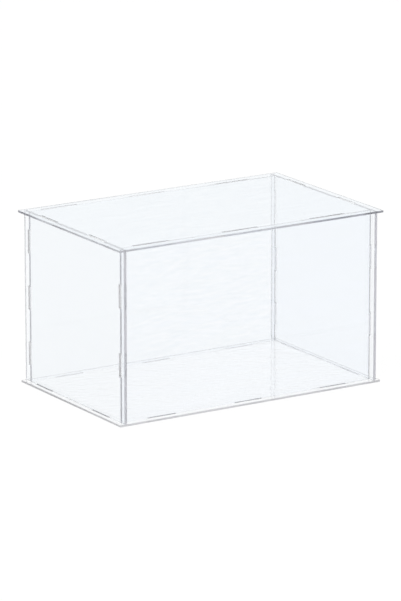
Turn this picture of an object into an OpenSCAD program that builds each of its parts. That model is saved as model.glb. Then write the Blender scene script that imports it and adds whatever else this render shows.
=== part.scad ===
// Clear acrylic display case, knocked together from six flat sheets with tabs and slots.
// X runs along the long side, the front faces -Y and Z is up.
// The origin is the middle of the underside of the base.

/* [Case] */
// Width over the top, end to end
case_w = 300; // [200:1:500]
// Depth over the top, front to back
case_d = 190; // [140:1:350]
// Height from the underside of the base to the upper face of the top
case_h = 173; // [100:1:350]
// Radius that takes the point off the corners of the top and the base
corner_r = 0.8; // [0.4:0.1:2]

/* [Sheet] */
// Thickness of the clear sheet that the four walls are cut from
wall_t = 3; // [2:0.5:6]
// Thickness of the clear sheet that the top and the base are cut from
plate_t = 2; // [1.5:0.5:6]

/* [Overhang] */
// From the ends of the top in to the outer face of a side panel
side_overhang = 6; // [3:0.5:15]
// From the front and back edges of the top in to the ends of the side panels
end_margin = 2; // [0.5:0.5:6]
// From the ends of the base in to the outer face of a side panel
base_overhang = 5; // [3:0.5:15]
// From the front and back edges of the base in to the ends of the side panels
base_margin = 0.5; // [0.5:0.5:6]
// How far the side panels run on past the outer faces of the front and back panels
side_proud = 6.5; // [4:0.5:15]

/* [Tabs] */
// Tabs on the upper and lower edges of the front and back panels
long_tabs = 3; // [2:1:5]
// From the ends of the top to the middle of the first and last of those tabs
top_long_inset = 50; // [45:1:60]
// From the ends of the base to the middle of the first and last of those tabs
base_long_inset = 51; // [45:1:60]
// Length of each of those tabs in the top
top_tab_l = 39; // [15:1:45]
// Length of each of those tabs in the base
base_tab_l = 31; // [15:1:45]
// How far the tabs in the top sit left of the middle, so that it goes on one way round only
top_key = 9.5; // [0:0.5:12]
// Tabs on the upper and lower edges of the side panels
short_tabs = 2; // [1:1:3]
// From the front and back edges of the top to the middle of the first and last of those tabs
top_short_inset = 50; // [45:1:55]
// From the front and back edges of the base to the middle of the first and last of those tabs
base_short_inset = 40.5; // [40:0.5:55]
// Length of each of those tabs
short_tab_l = 31; // [15:1:36]
// How far those tabs sit behind the middle, so that a side goes in one way round only
side_key = 4; // [0:0.5:6]
// Tabs on each end of the front panel
front_end_tabs = 2; // [1:1:3]
// Plain edge at the top and bottom of the front panel's ends, outside the even spread of its tabs
front_end_plain = 17; // [0:1:25]
// How far those tabs sit above the middle, so that the front goes in one way up only
front_key = 5.5; // [0:0.5:8]
// Tabs on each end of the back panel
back_end_tabs = 3; // [2:1:4]
// Length of each tab on the ends of the front and back panels
end_tab_l = 23; // [10:1:30]

/* [Fit] */
// Room around a tab in its slot, on every side
slot_gap = 0.15; // [0.05:0.05:0.4]
// How far the end of a tab stays below the outer face of the panel it passes through
tab_shy = 0.2; // [0:0.05:0.6]

/* [Hidden] */
$fn = 48;

// Faintly blue clear sheet
sheet_colour = [0.90, 0.95, 0.98, 0.45];

// Tabs reach through the next panel and stop just short of its outer face
plate_tab_reach = plate_t - tab_shy;
end_tab_reach = wall_t - tab_shy;

// The walls stand between the base and the top
wall_h = case_h - 2 * plate_t;
wall_mid_z = case_h / 2;

// Side panels: their middle plane, out from the centre, and their length
side_mid_x = case_w / 2 - side_overhang - wall_t / 2;
side_len = case_d - 2 * end_margin;

// The base, a little smaller than the top
base_w = 2 * side_mid_x + wall_t + 2 * base_overhang;
base_d = side_len + 2 * base_margin;

// Front and back panels: their middle plane, out from the centre, and their length between the sides
front_mid_y = case_d / 2 - end_margin - side_proud - wall_t / 2;
front_len = 2 * side_mid_x - wall_t;

// Places of a row of tabs, each in the middle of its share of a length, moved along by a shift
function spread(count, length, shift = 0) =
    [for (i = [0 : count - 1]) length * ((i + 0.5) / count - 0.5) + shift];

// Places of a row of tabs with even steps, the first and last an inset from the ends of a length
function inset_row(count, length, inset, shift = 0) =
    count == 1 ? [shift] : [for (i = [0 : count - 1]) (length - 2 * inset) * (i / (count - 1) - 0.5) + shift];

top_long_x = inset_row(long_tabs, case_w, top_long_inset, -top_key);
base_long_x = inset_row(long_tabs, base_w, base_long_inset);
top_short_y = inset_row(short_tabs, case_d, top_short_inset, side_key);
base_short_y = inset_row(short_tabs, base_d, base_short_inset, side_key);
front_end_z = spread(front_end_tabs, wall_h - 2 * front_end_plain, front_key);
back_end_z = spread(back_end_tabs, wall_h);

// A rectangle with small round corners, centred
module rounded_rectangle(width, depth, radius) {
    square([width - 2 * radius, depth], center = true);
    square([width, depth - 2 * radius], center = true);
    for (x = [-1, 1], y = [-1, 1])
        translate([x * (width / 2 - radius), y * (depth / 2 - radius)])
            circle(radius);
}

// The slot that takes a wall's tab of the given length, lying along x
module slot(tab_l) {
    square([tab_l + 2 * slot_gap, wall_t + 2 * slot_gap], center = true);
}

// The top or the base laid flat: a rectangle with a slot for every tab of the walls
module plate_outline(width, depth, long_x, long_tab_l, short_y) {
    difference() {
        rounded_rectangle(width, depth, corner_r);
        for (x = long_x, side = [-1, 1])
            translate([x, side * front_mid_y])
                slot(long_tab_l);
        for (y = short_y, side = [-1, 1])
            translate([side * side_mid_x, y])
                rotate(90)
                    slot(short_tab_l);
    }
}

// A row of tabs on the upper edge (side 1) or the lower edge (side -1) of a wall laid flat
module edge_tabs(places, tab_l, side) {
    for (x = places)
        translate([x, side * wall_h / 4])
            square([tab_l, wall_h / 2 + 2 * plate_tab_reach], center = true);
}

// A front or back panel laid flat: its body, the tabs above and below, and the tabs on its ends
module cross_wall_outline(end_z) {
    square([front_len, wall_h], center = true);
    edge_tabs(top_long_x, top_tab_l, 1);
    edge_tabs(base_long_x, base_tab_l, -1);
    for (z = end_z)
        translate([0, z])
            square([front_len + 2 * end_tab_reach, end_tab_l], center = true);
}

// A side panel laid flat, front towards -x: its body, its tabs, and slots for the other walls
module side_wall_outline() {
    difference() {
        union() {
            square([side_len, wall_h], center = true);
            edge_tabs(top_short_y, short_tab_l, 1);
            edge_tabs(base_short_y, short_tab_l, -1);
        }
        for (z = front_end_z)
            translate([-front_mid_y, z])
                rotate(90)
                    slot(end_tab_l);
        for (z = back_end_z)
            translate([front_mid_y, z])
                rotate(90)
                    slot(end_tab_l);
    }
}

// Stands a flat cross wall upright across the case
module stand_across(y) {
    translate([0, y, wall_mid_z])
        rotate([90, 0, 0])
            linear_extrude(wall_t, center = true)
                children();
}

// Stands a flat side wall upright along the depth of the case
module stand_along(x) {
    translate([x, 0, wall_mid_z])
        rotate([90, 0, 90])
            linear_extrude(wall_t, center = true)
                children();
}

module top_panel() {
    color(sheet_colour)
        translate([0, 0, case_h - plate_t])
            linear_extrude(plate_t)
                plate_outline(case_w, case_d, top_long_x, top_tab_l, top_short_y);
}

module base_panel() {
    color(sheet_colour)
        linear_extrude(plate_t)
            plate_outline(base_w, base_d, base_long_x, base_tab_l, base_short_y);
}

module front_panel() {
    color(sheet_colour)
        stand_across(-front_mid_y)
            cross_wall_outline(front_end_z);
}

module back_panel() {
    color(sheet_colour)
        stand_across(front_mid_y)
            cross_wall_outline(back_end_z);
}

module left_panel() {
    color(sheet_colour)
        stand_along(-side_mid_x)
            side_wall_outline();
}

module right_panel() {
    color(sheet_colour)
        stand_along(side_mid_x)
            side_wall_outline();
}

top_panel();
base_panel();
front_panel();
back_panel();
left_panel();
right_panel();
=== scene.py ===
"""Clear acrylic display case: six laser-cut sheets held by tabs in slots, on a pale floor in soft light."""

import math
from collections import namedtuple

import bmesh
import bpy
from mathutils import Matrix, Vector
from mathutils.geometry import tessellate_polygon


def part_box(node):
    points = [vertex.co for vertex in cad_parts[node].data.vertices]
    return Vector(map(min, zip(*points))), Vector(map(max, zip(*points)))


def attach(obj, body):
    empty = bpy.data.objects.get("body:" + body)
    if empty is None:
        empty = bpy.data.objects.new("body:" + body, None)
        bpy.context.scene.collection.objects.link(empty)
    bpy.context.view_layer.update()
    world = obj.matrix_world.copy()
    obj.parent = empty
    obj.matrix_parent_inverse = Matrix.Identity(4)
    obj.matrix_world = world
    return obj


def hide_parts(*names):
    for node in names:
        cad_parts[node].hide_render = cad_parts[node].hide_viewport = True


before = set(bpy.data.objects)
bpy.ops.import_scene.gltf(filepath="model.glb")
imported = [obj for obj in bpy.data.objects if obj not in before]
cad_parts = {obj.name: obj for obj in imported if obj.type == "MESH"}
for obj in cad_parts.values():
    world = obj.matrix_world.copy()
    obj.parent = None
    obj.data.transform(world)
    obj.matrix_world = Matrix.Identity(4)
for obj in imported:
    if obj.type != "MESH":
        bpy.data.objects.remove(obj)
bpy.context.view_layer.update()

# Lengths are in metres, so small sizes are written in millimetres and scaled once
MM = 0.001

# How much of the sharp corner is taken off each cut edge
ARRIS = 0.2 * MM
# Hair's breadth left between two sheets that touch
SEAT_GAP = 0.02 * MM
# Room for rounding when a place is compared with a seat
SEAT_TOLERANCE = 0.1 * MM
# The sides of a slot lie nearer than this to the faces of the tab in it
SLOT_ROOM = 0.5 * MM
# Cosine of the widest angle at which a facet still counts as part of a sheet's face
FACE_ON = 0.99
# Sine of the least turn that counts as a corner of an outline
LEAST_TURN = 1e-3
# Decimal places to which outlines are read, in metres
OUTLINE_DIGITS = 6

# Camera, found from the corners of the case in the photograph
CAMERA_YAW = math.radians(32.24)
CAMERA_PITCH = math.radians(14.88)
CAMERA_DISTANCE = 4465 * MM
CAMERA_AIM = Vector((-15.4, -24.0, 90.0)) * MM
SENSOR_WIDTH_MM = 36.0
LENS_MM = 276.0
# How far the camera sees
CAMERA_REACH = 100

# Soft box at the front left: where it hangs, the point that it is turned to and the length of its side
SOFT_BOX_PLACE = Vector((-0.7, -0.9, 0.7))
SOFT_BOX_AIM = Vector((-0.1, -0.1, 0.1))
SOFT_BOX_SIDE = 1.4
# Share of white at which the room lights things
ROOM_FILL = 0.75
# Half the width of the paper floor, and how far it lies under the base
FLOOR_HALF = 30
FLOOR_DROP = 0.1 * MM

# Light runs along inside a sheet from face to face before it comes out of an edge
LIGHT_BOUNCES = 128

# The body that carries each sheet, and the kind of sheet it is
SHEETS = {
    "base_panel": ("base", "base"),
    "front_panel": ("walls", "front_wall"),
    "back_panel": ("walls", "back_wall"),
    "left_panel": ("walls", "side_wall"),
    "right_panel": ("walls", "side_wall"),
    "top_panel": ("lid", "top"),
}

ACRYLIC_IOR = 1.49

# What the faces of each kind of sheet show: the deepest and palest tint, the length and width of the streaks,
# the roughness of the hazy patches, and the length and strength of the swells. The tints differ by kind as
# painted light and shade, deepest on the top and palest on the base, and the streaks are partly a random tone
# of the sheet and partly painted faint reflections. They are matched to the photograph, where the base is
# mottled and the right half of the back is finely streaked
Face = namedtuple("Face", "deep pale streak_long_mm streak_wide_mm haze swell_mm swell")
FACES = {
    "base": Face("#FDFEFF", "#FFFFFF", 60, 9, 0.05, 14, 1.0),
    "front_wall": Face("#F9FBFD", "#FAFCFF", 60, 9, 0.04, 70, 0.05),
    "back_wall": Face("#F5F8FA", "#FFFFFF", 14, 3, 0.04, 70, 0.05),
    "side_wall": Face("#F8FAFC", "#F9FBFD", 60, 9, 0.04, 70, 0.05),
    "top": Face("#F1F5F9", "#F8FCFF", 60, 6, 0.04, 70, 0.05),
}
# Along the back, from its middle, where its streaks set in and where they are full
BACK_STREAKS_START = -60 * MM
BACK_STREAKS_FULL = -10 * MM
# Roughness of a clean polished face
POLISHED = 0.01
# Middle value of a noise, and the values of it from which to which the tint and the haze change
NOISE_MIDDLE = 0.5
TINT_SPAN = (0.3, 0.7)
HAZE_SPAN = (0.35, 0.75)

# Painted shade on the edges of each kind of sheet, a grey that deepens along one way: the way, in degrees
# from the sheet's own x, where along that the edge is palest, and how far from there the painted shade starts
# and is full. It is guessed from the photograph, where some corners are darker than others
PaintedShade = namedtuple("PaintedShade", "degrees calm_mm start_mm full_mm")
PAINTED_SHADE = {
    "base": PaintedShade(90, -95, 50, 100),
    "front_wall": PaintedShade(0, -141, 60, 220),
    "back_wall": PaintedShade(0, -141, 60, 220),
    "side_wall": PaintedShade(0, 0, 20, 90),
    "top": PaintedShade(106, 0, 88, 112),
}
# The cuts of each kind that aren't flamed clear: the deepest and palest tone, the share of the light that
# goes through and the roughness. Where the two tones differ, the deepest is where the painted shade is full
Cut = namedtuple("Cut", "deep pale clear roughness", defaults=(1.0, 0.5))
CROSS_WALL_RIM = Cut("#9A9AA4", "#DADAE1")
CROSS_WALL_END_TAB = Cut("#FFFFFF", "#FFFFFF", clear=0.9)
CUTS = {
    "base": {
        # Painted shade: a darker grey on the rims and slot sides at the front and the left, deepening towards
        # the back
        "painted_shade_cut": Cut("#CBCBCE", "#DADADD", clear=0.35),
        "plain_cut": Cut("#E2E2E8", "#E2E2E8"),
    },
    "front_wall": {
        "rim": CROSS_WALL_RIM,
        "end_tab": CROSS_WALL_END_TAB,
        "tab": Cut("#E0E0E6", "#E0E0E6"),
    },
    "back_wall": {
        "rim": CROSS_WALL_RIM,
        "end_tab": CROSS_WALL_END_TAB,
    },
    "side_wall": {
        "rim": Cut("#DEDEE5", "#E2E2E8"),
        "slot": Cut("#FFFFFF", "#FFFFFF", roughness=0.35),
    },
    "top": {
        "rim": Cut("#A8A8B2", "#EAEAEF"),
    },
}


def linear(hex_colour):
    """An sRGB hex colour as the linear RGBA that the shaders take."""
    channels = [int(hex_colour[i : i + 2], 16) / 255 for i in (1, 3, 5)]
    values = [c / 12.92 if c <= 0.04045 else ((c + 0.055) / 1.055) ** 2.4 for c in channels]
    return (*values, 1.0)


def add_node(tree, kind, settings=None, links=None):
    """Adds one node, fills its sockets or fields from settings and joins its inputs to the given outputs."""
    node = tree.nodes.new(kind)
    for name, value in (settings or {}).items():
        if isinstance(name, int) or name in node.inputs:
            node.inputs[name].default_value = value
        else:
            setattr(node, name, value)
    for name, output in (links or {}).items():
        tree.links.new(output, node.inputs[name])
    return node


def new_material(name):
    """An empty node material with its output node."""
    material = bpy.data.materials.new(name)
    material.use_nodes = True
    tree = material.node_tree
    tree.nodes.clear()
    return material, tree, tree.nodes.new("ShaderNodeOutputMaterial")


# Materials


def streaks_set_in(tree, place, streaks):
    """The streaks of the back, partly painted reflections, are missing at its left, set in before its middle
    and full after.
    """
    along = add_node(tree, "ShaderNodeSeparateXYZ", None, {"Vector": place})
    share = add_node(
        tree,
        "ShaderNodeMapRange",
        {"From Min": BACK_STREAKS_START, "From Max": BACK_STREAKS_FULL},
        {"Value": along.outputs["X"]},
    )
    from_middle = add_node(
        tree,
        "ShaderNodeMath",
        {"operation": "SUBTRACT", 1: NOISE_MIDDLE},
        {0: streaks},
    )
    lessened = add_node(
        tree,
        "ShaderNodeMath",
        {"operation": "MULTIPLY_ADD", 2: NOISE_MIDDLE},
        {0: from_middle.outputs["Value"], 1: share.outputs["Result"]},
    )
    return lessened.outputs["Value"]


def polished_cast_acrylic(kind):
    """Cast acrylic sheet, polished by its glass mould: water clear with a breath of blue.

    Its faces are not dead flat, so reflections swim a little, pale streaks run along the sheet, partly a
    random tone of it and partly painted faint reflections, and handling leaves a faint haze in patches.
    """
    haze_mm = 18
    swell_height = 0.2 * MM
    face = FACES[kind]
    material, tree, output = new_material("polished_cast_acrylic_" + kind)
    place = add_node(tree, "ShaderNodeTexCoord").outputs["Object"]
    streaks_per_metre = 1 / (face.streak_wide_mm * MM)
    drawn_out = add_node(
        tree,
        "ShaderNodeMapping",
        {"Scale": (1 / (face.streak_long_mm * MM), streaks_per_metre, streaks_per_metre)},
        {"Vector": place},
    )
    streaks = add_node(
        tree,
        "ShaderNodeTexNoise",
        {"Scale": 1.0, "Detail": 4.0, "Roughness": 0.6},
        {"Vector": drawn_out.outputs["Vector"]},
    ).outputs["Fac"]
    if kind == "back_wall":
        streaks = streaks_set_in(tree, place, streaks)
    # The tint of each kind is partly painted light and shade, deeper on the top and paler on the base, and
    # its streaks partly painted reflections
    tint = add_node(tree, "ShaderNodeValToRGB", None, {"Fac": streaks})
    for stop, position, colour in zip(tint.color_ramp.elements, TINT_SPAN, (face.deep, face.pale)):
        stop.position = position
        stop.color = linear(colour)
    swells = add_node(
        tree,
        "ShaderNodeTexNoise",
        {"Scale": 1 / (face.swell_mm * MM), "Detail": 1.0},
        {"Vector": place},
    )
    bump = add_node(
        tree,
        "ShaderNodeBump",
        {"Strength": face.swell, "Distance": swell_height},
        {"Height": swells.outputs["Fac"]},
    )
    haze = add_node(
        tree,
        "ShaderNodeTexNoise",
        {"Scale": 1 / (haze_mm * MM), "Detail": 4.0},
        {"Vector": place},
    )
    gloss = add_node(
        tree,
        "ShaderNodeMapRange",
        {"From Min": HAZE_SPAN[0], "From Max": HAZE_SPAN[1], "To Min": POLISHED, "To Max": face.haze},
        {"Value": haze.outputs["Fac"]},
    )
    sheet = add_node(
        tree,
        "ShaderNodeBsdfPrincipled",
        {"IOR": ACRYLIC_IOR, "Transmission Weight": 1.0},
        {
            "Base Color": tint.outputs["Color"],
            "Roughness": gloss.outputs["Result"],
            "Normal": bump.outputs["Normal"],
        },
    )
    tree.links.new(sheet.outputs["BSDF"], output.inputs["Surface"])
    return material


def painted_shade_tone(tree, place, shade_drift, cut):
    """The tone of a cut with painted shade: pale near one place, and deeper further from it along one way."""
    drift = math.radians(shade_drift.degrees)
    along = add_node(
        tree,
        "ShaderNodeVectorMath",
        {"operation": "DOT_PRODUCT", 1: (math.cos(drift), math.sin(drift), 0)},
        {0: place},
    )
    from_palest = add_node(
        tree,
        "ShaderNodeMath",
        {"operation": "SUBTRACT", 1: shade_drift.calm_mm * MM},
        {0: along.outputs["Value"]},
    )
    distance = add_node(tree, "ShaderNodeMath", {"operation": "ABSOLUTE"}, {0: from_palest.outputs["Value"]})
    grey = add_node(
        tree,
        "ShaderNodeMapRange",
        {"From Min": shade_drift.start_mm * MM, "From Max": shade_drift.full_mm * MM},
        {"Value": distance.outputs["Value"]},
    )
    tone = add_node(tree, "ShaderNodeValToRGB", None, {"Fac": grey.outputs["Result"]})
    for stop, colour in zip(tone.color_ramp.elements, (cut.pale, cut.deep)):
        stop.color = linear(colour)
    return tone.outputs["Color"]


def laser_cut_edge(kind, name):
    """Acrylic edge as the laser leaves it: satin and faintly grey, with fine ribs through the thickness.

    A painted shade deepens the tone of some cuts along one way, and the darker cut of the base is partly
    matt.
    Real ribs are a quarter of a millimetre apart, and are drawn coarser to show.
    """
    rib_mm = 1.6
    rib_long_mm = 60
    rib_height = 0.05 * MM
    cut = CUTS[kind][name]
    material, tree, output = new_material(f"laser_cut_acrylic_{kind}_{name}")
    place = add_node(tree, "ShaderNodeTexCoord").outputs["Object"]
    ribs_per_metre = 1 / (rib_mm * MM)
    stretched = add_node(
        tree,
        "ShaderNodeMapping",
        {"Scale": (ribs_per_metre, ribs_per_metre, 1 / (rib_long_mm * MM))},
        {"Vector": place},
    )
    ribs = add_node(
        tree,
        "ShaderNodeTexNoise",
        {"Scale": 1.0, "Detail": 2.0},
        {"Vector": stretched.outputs["Vector"]},
    )
    bump = add_node(
        tree,
        "ShaderNodeBump",
        {"Strength": 0.3, "Distance": rib_height},
        {"Height": ribs.outputs["Fac"]},
    )
    edge = add_node(
        tree,
        "ShaderNodeBsdfPrincipled",
        {
            "Base Color": linear(cut.pale),
            "Roughness": cut.roughness,
            "IOR": ACRYLIC_IOR,
            "Transmission Weight": cut.clear,
        },
        {"Normal": bump.outputs["Normal"]},
    )
    # Where the deep and pale tones differ, the tone is a painted shade that deepens along one way
    if cut.deep != cut.pale:
        tree.links.new(painted_shade_tone(tree, place, PAINTED_SHADE[kind], cut), edge.inputs["Base Color"])
    tree.links.new(edge.outputs["BSDF"], output.inputs["Surface"])
    return material


def sheet_finishes(kind):
    """The materials of a kind of sheet, by the names that edge_finish gives."""
    finishes = {"face": polished_cast_acrylic(kind)}
    finishes.update({name: laser_cut_edge(kind, name) for name in CUTS[kind]})
    return finishes


def seen_directly(tree):
    """1 for what the eye sees straight, mirrored or through a sheet, and 0 for light that falls on things."""
    path = add_node(tree, "ShaderNodeLightPath").outputs
    straight = add_node(
        tree,
        "ShaderNodeMath",
        {"operation": "MAXIMUM"},
        {0: path["Is Camera Ray"], 1: path["Is Glossy Ray"]},
    )
    through = add_node(
        tree,
        "ShaderNodeMath",
        {"operation": "MAXIMUM"},
        {0: straight.outputs["Value"], 1: path["Is Transmission Ray"]},
    )
    return through.outputs["Value"]


def white_paper_floor():
    """White paper sweep: matt, and bright enough to the eye to run into the white behind it."""
    fibre_mm = 4
    glow_share = 0.93
    glow_strength = 1.03
    material, tree, output = new_material("white_paper_floor")
    place = add_node(tree, "ShaderNodeTexCoord").outputs["Object"]
    fibre = add_node(
        tree,
        "ShaderNodeTexNoise",
        {"Scale": 1 / (fibre_mm * MM), "Detail": 3.0},
        {"Vector": place},
    )
    tone = add_node(tree, "ShaderNodeValToRGB", None, {"Fac": fibre.outputs["Fac"]})
    for stop, colour in zip(tone.color_ramp.elements, ("#F1F1F1", "#F6F6F6")):
        stop.color = linear(colour)
    paper = add_node(tree, "ShaderNodeBsdfDiffuse", None, {"Color": tone.outputs["Color"]})
    share = add_node(
        tree,
        "ShaderNodeMath",
        {"operation": "MULTIPLY", 1: glow_share},
        {0: seen_directly(tree)},
    )
    glow = add_node(tree, "ShaderNodeEmission", {"Color": linear("#FFFFFF"), "Strength": glow_strength})
    total = add_node(
        tree,
        "ShaderNodeMixShader",
        None,
        {0: share.outputs["Value"], 1: paper.outputs["BSDF"], 2: glow.outputs["Emission"]},
    )
    tree.links.new(total.outputs["Shader"], output.inputs["Surface"])
    return material


# Sheets


def sheet_axes(node):
    """Centre, half thickness and local axes of a flat sheet: x and y lie in it and z goes through it."""
    low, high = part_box(node)
    size = high - low
    thin = min(range(3), key=lambda i: size[i])
    in_plane = [Vector((1, 0, 0)), Vector((0, 1, 0)), Vector((0, 0, 1))]
    in_plane.pop(thin)
    through = in_plane[0].cross(in_plane[1])
    return (low + high) / 2, size[thin] / 2, (*in_plane, through)


def outline_loops(node, centre, axes):
    """The closed outlines on one face of a sheet in its own plane, its rim first and then its slots."""
    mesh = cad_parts[node].data
    across, along, through = axes
    sides = set()
    for polygon in mesh.polygons:
        if polygon.normal.dot(through) < FACE_ON:
            continue
        corners = [mesh.vertices[i].co - centre for i in polygon.vertices]
        flat = [(p.dot(across), p.dot(along)) for p in corners]
        points = [(round(x, OUTLINE_DIGITS), round(y, OUTLINE_DIGITS)) for x, y in flat]
        sides.update(zip(points, points[1:] + points[:1]))
    next_point = {start: end for start, end in sorted(sides) if (end, start) not in sides}
    loops = []
    while next_point:
        first, point = next_point.popitem()
        loop = [first]
        while point != first:
            loop.append(point)
            point = next_point.pop(point)
        loops.append(drop_straight_points([Vector(p) for p in loop]))
    return sorted(loops, key=lambda loop: -max(p.x for p in loop))


def points_with_runs(loop):
    """Each point of an outline, with the directions of the runs that come before and after it."""
    for i, point in enumerate(loop):
        before = (point - loop[i - 1]).normalized()
        after = (loop[(i + 1) % len(loop)] - point).normalized()
        yield point, before, after


def drop_straight_points(loop):
    """The same outline without the points that lie on a straight run."""
    return [point for point, before, after in points_with_runs(loop) if abs(before.cross(after)) > LEAST_TURN]


def moved_in(loop, distance):
    """The outline moved by a distance towards its left, which is where the sheet is."""
    moved = []
    for point, before, after in points_with_runs(loop):
        left_before = Vector((-before.y, before.x))
        left_after = Vector((-after.y, after.x))
        moved.append(point + (left_before + left_after) * distance / (1 + left_before.dot(left_after)))
    return moved


def base_finish(middle, is_slot):
    """The cut that an edge of the base shows, or face where it was flamed clear.

    The rim at the front and the left gets the darker, partly matt cut, its grey a painted shade, and the rest
    the plain cut. The slots are flamed, except for the inner sides of those at the front and the left, which
    were left as cut and get the darker cut too.
    """
    from_front = middle.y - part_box("front_panel")[1].y
    from_left = middle.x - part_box("left_panel")[1].x
    if is_slot:
        return "painted_shade_cut" if min(abs(from_front), abs(from_left)) < SLOT_ROOM else "face"
    return "painted_shade_cut" if min(from_front, from_left) < 0 else "plain_cut"


def wall_finish(kind, middle):
    """The cut that an outer edge of a wall shows, or face where it was flamed clear.

    The feet of the walls and the upper edges of the front and back are flamed. So are the tabs in the base
    and the top, except those of the front, which were left as cut.
    """
    floor_of_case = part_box("base_panel")[1].z
    roof_of_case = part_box("top_panel")[0].z
    inside_of_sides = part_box("right_panel")[0].x
    in_base = middle.z < floor_of_case - SEAT_TOLERANCE
    in_top = middle.z > roof_of_case + SEAT_TOLERANCE
    if kind == "front_wall" and (in_base or in_top):
        return "tab"
    on_base = middle.z < floor_of_case + SEAT_TOLERANCE
    under_top = kind != "side_wall" and middle.z > roof_of_case - SEAT_TOLERANCE
    if on_base or under_top or in_top:
        return "face"
    if kind != "side_wall" and abs(middle.x) > inside_of_sides + SEAT_TOLERANCE:
        return "end_tab"
    return "rim"


def edge_finish(kind, middle, is_slot):
    """The cut that an edge of a sheet shows, from the middle of the edge, or face where it was flamed clear.

    Which edges were flamed or get the darker cut with its painted shade is guessed from how dark each line is
    in the photograph. The slots of the top are flamed, and those of the side walls only wiped with the flame,
    so they are satin.
    """
    if kind == "base":
        return base_finish(middle, is_slot)
    if is_slot:
        return "slot" if kind == "side_wall" else "face"
    if kind == "top":
        return "rim"
    return wall_finish(kind, middle)


def fill_face(bm, rings):
    """Fills a flat face of a sheet between its rim and its slots."""
    corners = [corner for ring in rings for corner in ring]
    for triangle in tessellate_polygon([[corner.co for corner in ring] for ring in rings]):
        bm.faces.new([corners[i] for i in triangle])


def sheet_mesh(node, kind, finishes):
    """A sheet in its own axes, cut along its outlines, with small arrises and a finish on every cut edge."""
    centre, half, axes = sheet_axes(node)
    half -= SEAT_GAP
    levels = ((ARRIS, -half), (0, ARRIS - half), (0, half - ARRIS), (ARRIS, half))
    names = list(finishes)
    bm = bmesh.new()
    low_rings, high_rings = [], []
    for number, outline in enumerate(outline_loops(node, centre, axes)):
        loop = moved_in(outline, SEAT_GAP)
        rings = [
            [bm.verts.new((p.x, p.y, height)) for p in moved_in(loop, inset)] for inset, height in levels
        ]
        low_rings.append(rings[0])
        high_rings.append(rings[-1])
        for i, point in enumerate(loop):
            middle = (loop[i - 1] + point) / 2
            place = centre + axes[0] * middle.x + axes[1] * middle.y
            finish = names.index(edge_finish(kind, place, number > 0))
            for lower, upper in zip(rings, rings[1:]):
                bm.faces.new((lower[i - 1], lower[i], upper[i], upper[i - 1])).material_index = finish
    fill_face(bm, low_rings)
    fill_face(bm, high_rings)
    bmesh.ops.recalc_face_normals(bm, faces=bm.faces)
    mesh = bpy.data.meshes.new(node + "_sheet")
    bm.to_mesh(mesh)
    bm.free()
    for material in finishes.values():
        mesh.materials.append(material)
    return mesh


def cut_sheet(node, body, kind, finishes):
    """Puts a sheet in the place of its plain solid and lets it ride on its body."""
    centre, _, axes = sheet_axes(node)
    piece = bpy.data.objects.new(node + "_sheet", sheet_mesh(node, kind, finishes))
    bpy.context.scene.collection.objects.link(piece)
    piece.matrix_world = Matrix.Translation(centre) @ Matrix(axes).transposed().to_4x4()
    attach(piece, body)
    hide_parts(node)


# Stage, light and camera


def lay_floor():
    """A wide sheet of white paper just under the base."""
    mesh = bpy.data.meshes.new("paper_floor")
    corners = [(x * FLOOR_HALF, y * FLOOR_HALF, -FLOOR_DROP) for x, y in ((-1, -1), (1, -1), (1, 1), (-1, 1))]
    mesh.from_pydata(corners, [], [(0, 1, 2, 3)])
    mesh.materials.append(white_paper_floor())
    floor = bpy.data.objects.new("paper_floor", mesh)
    bpy.context.scene.collection.objects.link(floor)


def light_room():
    """Even white light from all round, and white to the eye."""
    world = bpy.data.worlds.new("white_studio")
    world.use_nodes = True
    tree = world.node_tree
    tree.nodes.clear()
    strength = add_node(
        tree,
        "ShaderNodeMath",
        {"operation": "MULTIPLY_ADD", 1: 1 - ROOM_FILL, 2: ROOM_FILL},
        {0: seen_directly(tree)},
    )
    sky = add_node(
        tree,
        "ShaderNodeBackground",
        {"Color": linear("#FFFFFF")},
        {"Strength": strength.outputs["Value"]},
    )
    output = add_node(tree, "ShaderNodeOutputWorld")
    tree.links.new(sky.outputs["Background"], output.inputs["Surface"])
    bpy.context.scene.world = world


def hang_soft_box():
    """A square soft box. It is as white as the room, so no sheet mirrors it as a patch."""
    lamp = bpy.data.lights.new("front_left_soft_box", "AREA")
    lamp.size = SOFT_BOX_SIDE
    lamp.energy = math.pi * SOFT_BOX_SIDE**2
    holder = bpy.data.objects.new("front_left_soft_box", lamp)
    holder.location = SOFT_BOX_PLACE
    holder.rotation_euler = (SOFT_BOX_AIM - SOFT_BOX_PLACE).to_track_quat("-Z", "Y").to_euler()
    bpy.context.scene.collection.objects.link(holder)


def set_camera():
    """The camera at the photograph's angle."""
    forward = Vector(
        (
            math.sin(CAMERA_YAW) * math.cos(CAMERA_PITCH),
            math.cos(CAMERA_YAW) * math.cos(CAMERA_PITCH),
            -math.sin(CAMERA_PITCH),
        )
    )
    data = bpy.data.cameras.new("camera")
    data.sensor_width = SENSOR_WIDTH_MM
    data.lens = LENS_MM
    data.clip_end = CAMERA_REACH
    camera = bpy.data.objects.new("camera", data)
    camera.location = CAMERA_AIM - forward * CAMERA_DISTANCE
    camera.rotation_euler = forward.to_track_quat("-Z", "Y").to_euler()
    bpy.context.scene.collection.objects.link(camera)
    bpy.context.scene.camera = camera


set_camera()
lay_floor()
light_room()
hang_soft_box()
for limit in ("max_bounces", "glossy_bounces", "transmission_bounces"):
    setattr(bpy.context.scene.cycles, limit, LIGHT_BOUNCES)
bpy.context.scene.view_settings.view_transform = "Standard"

finishes_by_kind = {kind: sheet_finishes(kind) for kind in FACES}
for node, (body, kind) in SHEETS.items():
    cut_sheet(node, body, kind, finishes_by_kind[kind])
